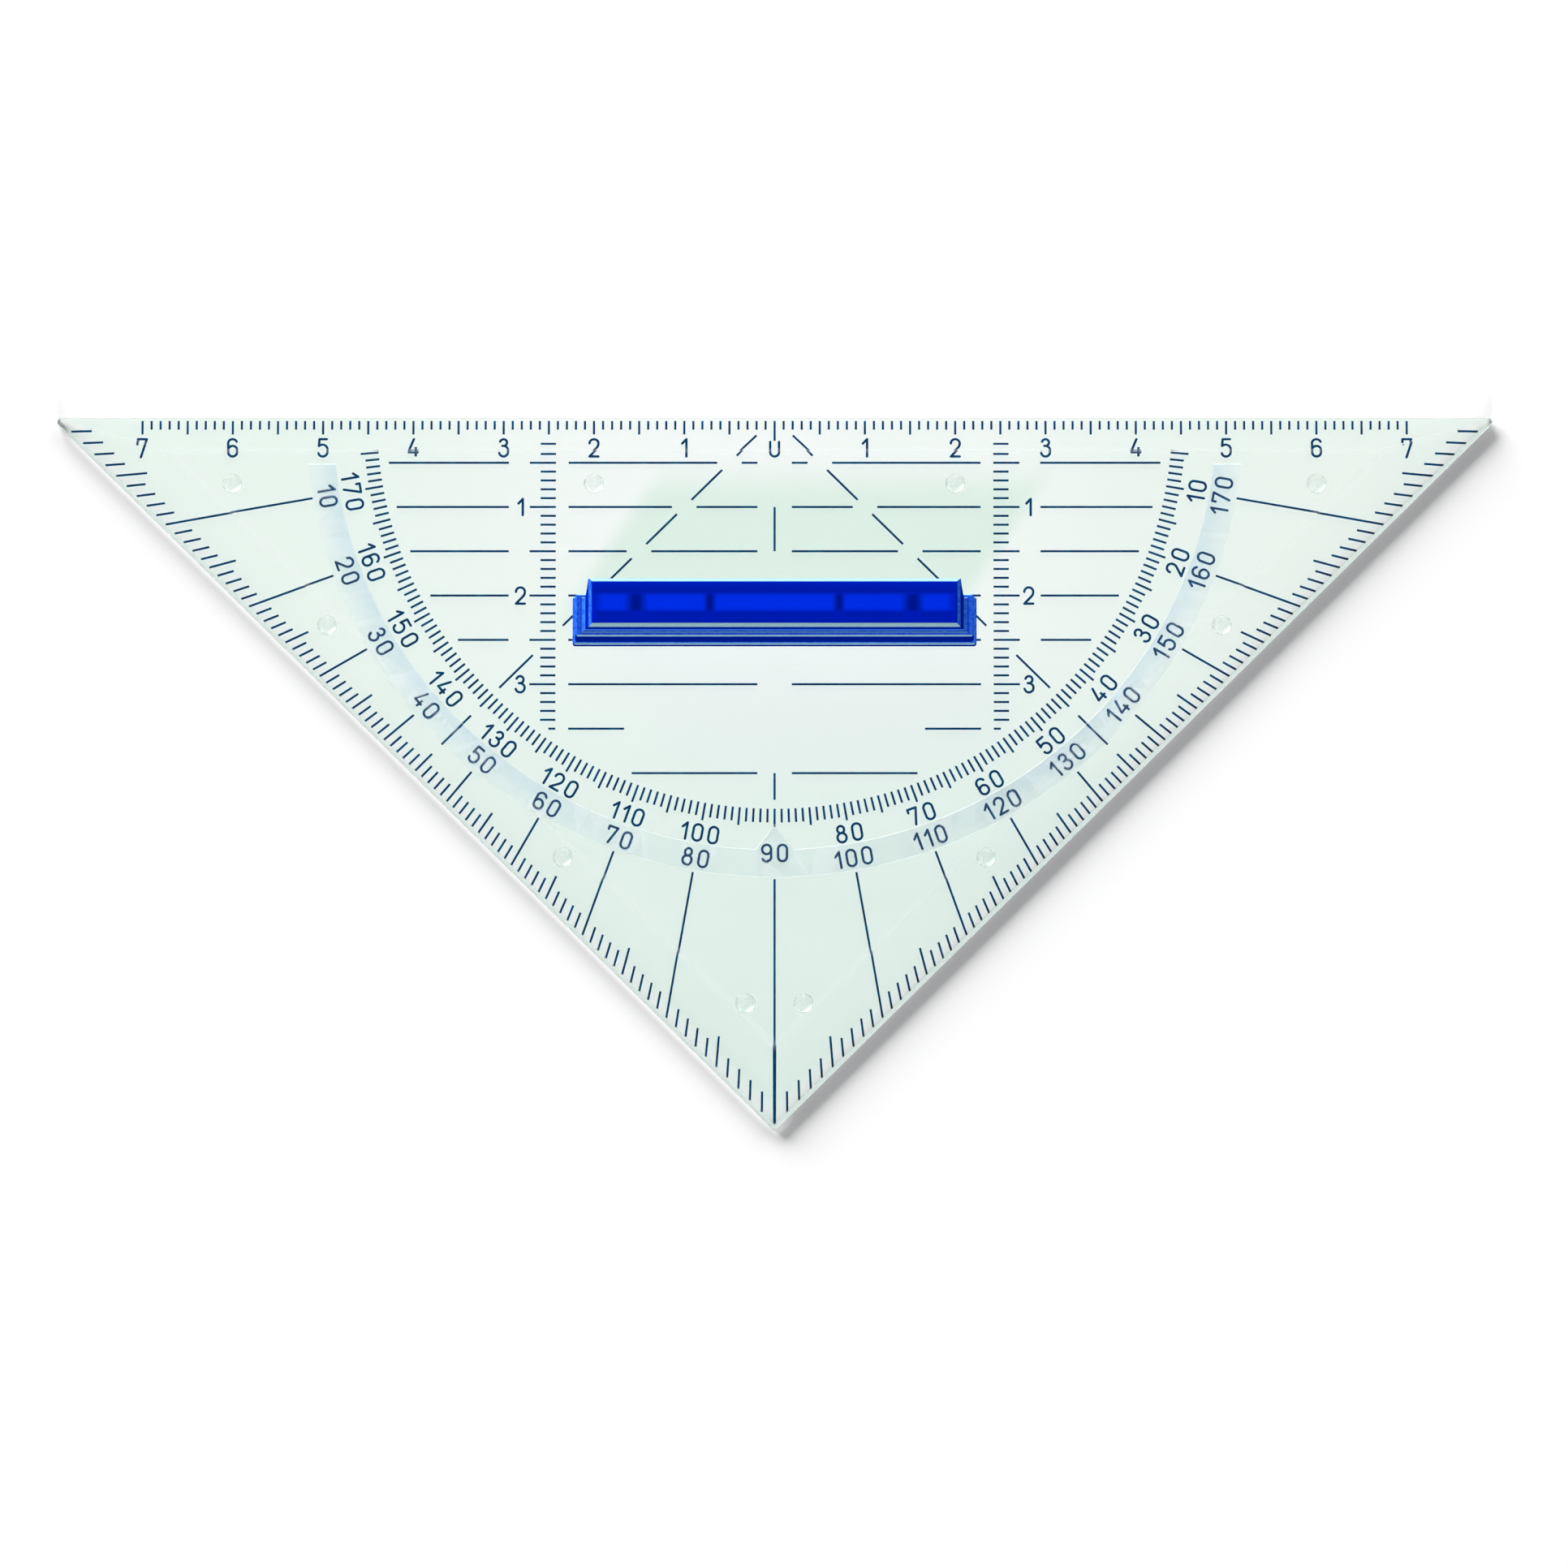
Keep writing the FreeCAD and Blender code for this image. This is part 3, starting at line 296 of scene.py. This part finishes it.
def clear_plastic():
    """Polished clear plastic, faintly green, with slightly frosted edges; its knobs, ridges and
    walls carry painted shade and highlights.
    """
    graph = Graph("clear_plastic")
    wall_frost, knob_painted_highlight, ridge_painted_highlight = 0.6, 0.45, 0.12
    from_leg = graph.from_leg()
    height = graph.axis("Z")
    wall = graph.steepness()
    upper = graph.spread(height, UNDERSIDE, 0.45 * MM)

    # Each knob has painted shade on one side and a painted highlight on the other.
    on_knob = graph.spread(height, KNOB_ROOT, 0.36 * MM)
    sideways = graph.minus(graph.facing("X"), graph.facing("Y"))
    painted_lit_side = graph.spread(sideways, -0.4, 0.4)
    painted_shade_side = graph.minus(0.7, graph.times(painted_lit_side, 0.7))
    tint = graph.blend(graph.times(on_knob, painted_shade_side), plate_tint(graph, from_leg),
                       colour(0.42, 0.56, 0.5))
    glass = graph.add("ShaderNodeBsdfPrincipled", {
        "Base Color": tint,
        "Roughness": graph.spread(height, KNOB_ROOT, 0.3 * MM, 0.02, 0.25),
        "IOR": PLATE_IOR,
        "Transmission Weight": 1.0,
        "Normal": graph.bump(graph.noise(140.0), 0.01 * MM),
    })

    # Walls, knobs and ridges are frosted; on the knobs' lit sides and along the ridges the frost
    # is a painted highlight, and the lower part of the walls is greyer with painted shade.
    shaded_low_wall = graph.near(height, 0.5 * MM, 1.05 * MM, 0.1 * MM)
    white = graph.blend(shaded_low_wall, colour(0.92, 0.96, 0.94), colour(0.36, 0.4, 0.39))
    chalk = graph.add("ShaderNodeBsdfPrincipled", {"Base Color": white, "Roughness": 0.4})
    frosted = graph.mix(0.5, chalk, graph.add("ShaderNodeBsdfTranslucent", {"Color": white}))
    frost = graph.largest(graph.times(graph.times(wall, upper), wall_frost),
                          graph.times(graph.times(on_knob, painted_lit_side), knob_painted_highlight),
                          graph.times(ridges(graph), ridge_painted_highlight))
    body = graph.mix(frost, glass, frosted)

    # A milky line runs along the legs on the underside.
    milky = graph.add("ShaderNodeBsdfPrincipled", {"Base Color": colour(0.82, 0.93, 0.89),
                                                   "Roughness": 0.4})
    edge = graph.times(graph.spread(from_leg, 0.55 * MM, 0.3 * MM, 0.0, 0.8),
                       graph.minus(1.0, upper))
    body = graph.mix(edge, body, milky)

    # Without this, rays caught in the plate would turn nearly black.
    caught = graph.add("ShaderNodeBsdfTranslucent", {"Color": colour(0.7, 0.78, 0.74)})
    body = graph.mix(graph.trapped(), body, caught)
    return graph.finish(graph.for_light(body, light_through_plate(graph, from_leg, wall)))


def scale_ink():
    """Dark blue screen ink, a little thinner in places."""
    graph = Graph("scale_ink")
    patchy = graph.spread(graph.noise(900.0, detail=4.0), 0.45, 0.8)
    tone = graph.blend(patchy, colour(0.0, 0.03, 0.1), colour(0.0, 0.08, 0.19))
    ink = graph.add("ShaderNodeBsdfPrincipled", {"Base Color": tone, "Roughness": 0.55,
                                                 "Specular IOR Level": 0.2})
    return graph.finish(ink)


def band_tint():
    """Thin blue film, deepest as painted reflection towards its ends and as painted shade at its
    inner edge, fading outwards and towards its middle.
    """
    graph = Graph("band_tint")
    deep, pale = colour(0.92, 0.95, 0.985), colour(0.985, 0.995, 1.0)
    haziness = 0.015
    outward = graph.spread(graph.from_zero_mark(), BAND_INNER_RADIUS, BAND_OUTER_RADIUS,
                           smooth=True)
    sideways = graph.spread(graph.absolute(graph.axis("X")), 12 * MM, 34 * MM, smooth=True)
    faint = graph.largest(outward, graph.minus(1.0, sideways))
    film = graph.add("ShaderNodeBsdfTransparent", {"Color": graph.blend(faint, deep, pale)})
    haze = graph.add("ShaderNodeBsdfPrincipled", {"Base Color": colour(0.6, 0.75, 1.0),
                                                  "Roughness": 0.35})
    hazy = graph.mix(haziness, film, haze)
    return graph.finish(graph.for_light(hazy, colour(0.99, 0.995, 1.0)))


def handle_tone(graph):
    """Blue, lighter over the slot inside the handle and darker over the slot's ribs, as painted
    light and painted shade.
    """
    window_deep, window_light = colour(0.0, 0.036, 0.86), colour(0.0, 0.048, 0.93)
    shade_over_ribs = colour(0.0, 0.012, 0.29)
    over_walls = colour(0.0, 0.018, 0.57)
    middle = (HANDLE_LOW.y + HANDLE_HIGH.y) / 2
    along = graph.absolute(graph.axis("X"))
    across = graph.absolute(graph.minus(graph.axis("Y"), middle))
    rib = graph.near(along, RIB_MIDDLE - RIB_SHADE_HALF, RIB_MIDDLE + RIB_SHADE_HALF, 0.4 * MM)
    tongue = graph.near(along, TONGUE_MIDDLE - TONGUE_SHADE_HALF,
                        TONGUE_MIDDLE + TONGUE_SHADE_HALF, 0.7 * MM)
    # The slot fades out softly at its long sides, and more softly at its ends.
    side_soft, end_soft = 0.35 * MM, 0.8 * MM
    slot = graph.times(graph.spread(across, SLOT_HALF_WIDTH + side_soft,
                                    SLOT_HALF_WIDTH - side_soft, smooth=True),
                       graph.spread(along, SLOT_HALF_LENGTH + end_soft,
                                    SLOT_HALF_LENGTH - end_soft, smooth=True))
    light_over_slot = graph.blend(graph.noise(120.0), window_deep, window_light)
    light_over_slot = graph.blend(graph.largest(rib, tongue), light_over_slot, shade_over_ribs)
    return graph.blend(slot, over_walls, light_over_slot)


def blue_plastic():
    """Glossy blue plastic, a little clear, with satin walls and ledges, painted highlights along
    its long edges, and painted light and shade over its slot, coves and tongues.
    """
    graph = Graph("blue_plastic")
    waves = graph.bump(graph.noise(260.0), 0.0004 * MM)
    height = graph.axis("Z")
    wall = graph.steepness()
    round_edge = graph.rounded()
    # The tongues are what lies lower than the top of the plate, and they get painted shade.
    tongue = graph.spread(height, PLATE_HIGH.z + 0.2 * MM, PLATE_HIGH.z - 0.2 * MM)
    ledge = graph.times(graph.near(height, LEDGES_LOW, LEDGES_HIGH, CRISP),
                        graph.minus(1.0, wall))
    cove = graph.near(height, COVE_LOW, COVE_HIGH, CRISP)

    polished = graph.add("ShaderNodeBsdfPrincipled", {
        "Base Color": graph.blend(tongue, handle_tone(graph), colour(0.0, 0.01, 0.3)),
        "Roughness": 0.08,
        "IOR": HANDLE_IOR,
        "Specular Tint": colour(0.35, 0.8, 1.0),
        "Transmission Weight": 0.45,
        "Normal": waves,
    })

    # The coves and rounded edges are painted a lighter blue than the walls, as painted light;
    # ledges and rounded edges are grainy.
    grain = graph.spread(graph.noise(2600.0, detail=3.0), 0.35, 0.65)
    ledge_tone = graph.blend(grain, colour(0.008, 0.085, 0.66), colour(0.04, 0.17, 0.78))
    wall_and_lit_cove_tone = graph.blend(cove, colour(0.0, 0.014, 0.33), colour(0.042, 0.225, 1.0))
    satin = graph.add("ShaderNodeBsdfPrincipled", {
        "Base Color": graph.blend(graph.largest(ledge, round_edge), wall_and_lit_cove_tone, ledge_tone),
        "Roughness": 0.4,
        "Specular IOR Level": 0.0,
        "Normal": waves,
    })

    # Painted highlights along the long rounded edges, paler at the front than at the back.
    front = graph.spread(graph.facing("Y"), 0.2, -0.2)
    painted_highlight = graph.add("ShaderNodeBsdfPrincipled", {
        "Base Color": graph.blend(front, colour(0.3, 0.6, 0.95), colour(0.52, 0.88, 1.0)),
        "Roughness": 0.12,
    })
    long_edge = graph.times(graph.near(graph.facing("Z"), 0.4, 0.93, 0.04),
                            graph.spread(graph.absolute(graph.facing("X")), 0.3, 0.1))
    glint = graph.times(long_edge, graph.minus(1.0, cove))

    matt = graph.largest(wall, cove, ledge, round_edge)
    shell = graph.mix(glint, graph.mix(matt, polished, satin), painted_highlight)
    dye = graph.add("ShaderNodeVolumeAbsorption",
                    {"Color": colour(0.3, 0.66, 0.985), "Density": 550.0})
    # Light on its way to what lies below isn't absorbed.
    inside = graph.add("ShaderNodeMixShader", {0: graph.by_light(), 1: dye})
    return graph.finish(graph.for_light(shell, colour(0.985, 0.99, 0.995)), inside)


def paint(node, material):
    """Gives a CAD node its finish."""
    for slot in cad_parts[node].material_slots:
        slot.material = material


# ---------------------------------------------------------------- studio

def floor_material():
    """Plain pale card."""
    graph = Graph("floor_card")
    tone = graph.blend(graph.noise(30.0), colour(0.93, 0.93, 0.93), colour(0.95, 0.95, 0.95))
    card = graph.add("ShaderNodeBsdfPrincipled", {"Base Color": tone, "Roughness": 0.9,
                                                  "Specular IOR Level": 0.1})
    return graph.finish(card)


def make_floor():
    """A card just under the knobs of the plate."""
    width = 6.0
    drop = 0.01 * MM
    bpy.ops.mesh.primitive_plane_add(size=width, location=(0, 0, -drop))
    floor = bpy.context.object
    floor.name = "floor"
    floor.data.materials.append(floor_material())


def soft_light(name, place, width, height, brightness):
    """A studio light that faces the set square and is neither seen nor mirrored."""
    data = bpy.data.lights.new(name, "AREA")
    data.shape = "RECTANGLE"
    data.size = width
    data.size_y = height
    data.energy = brightness * math.pi * width * height
    light = bpy.data.objects.new(name, data)
    bpy.context.scene.collection.objects.link(light)
    light.location = place
    light.rotation_euler = (-Vector(place)).to_track_quat("-Z", "Y").to_euler()
    light.visible_camera = False
    light.visible_glossy = False


def make_world():
    """Dark grey surroundings, darkest overhead."""
    settings = {"From Min": 0.80, "From Max": 0.96, "To Min": 0.36, "To Max": 0.05}
    world = bpy.data.worlds.new("studio")
    world.use_nodes = True
    tree = world.node_tree
    place = tree.nodes.new("ShaderNodeTexCoord")
    split = tree.nodes.new("ShaderNodeSeparateXYZ")
    ramp = tree.nodes.new("ShaderNodeMapRange")
    for name, value in settings.items():
        ramp.inputs[name].default_value = value
    tree.links.new(place.outputs["Generated"], split.inputs["Vector"])
    tree.links.new(split.outputs["Z"], ramp.inputs["Value"])
    tree.links.new(ramp.outputs["Result"], tree.nodes["Background"].inputs["Strength"])
    bpy.context.scene.world = world


def make_camera():
    """A long lens, tilted from straight down towards the right-angled corner."""
    tilt = math.radians(11.0)
    distance = 2.0
    framed = 172.96 * MM
    aim = Vector((1.04 * MM, -1.33 * MM, 1.2 * MM))
    data = bpy.data.cameras.new("camera")
    data.lens = data.sensor_width * distance / framed
    camera = bpy.data.objects.new("camera", data)
    bpy.context.scene.collection.objects.link(camera)
    camera.location = aim + distance * Vector((0, -math.sin(tilt), math.cos(tilt)))
    camera.rotation_euler = (tilt, 0, 0)
    bpy.context.scene.camera = camera


paint("plate", clear_plastic())
paint("grip_handle", blue_plastic())
paint("protractor_band", band_tint())
ink = scale_ink()
for node in INK_NODES:
    paint(node, ink)
    # The thin prints throw no shadow of their own.
    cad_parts[node].visible_shadow = False
make_floor()
make_world()
make_camera()
for light in LIGHTS:
    soft_light(*light)
bpy.context.scene.view_settings.view_transform = "Standard"
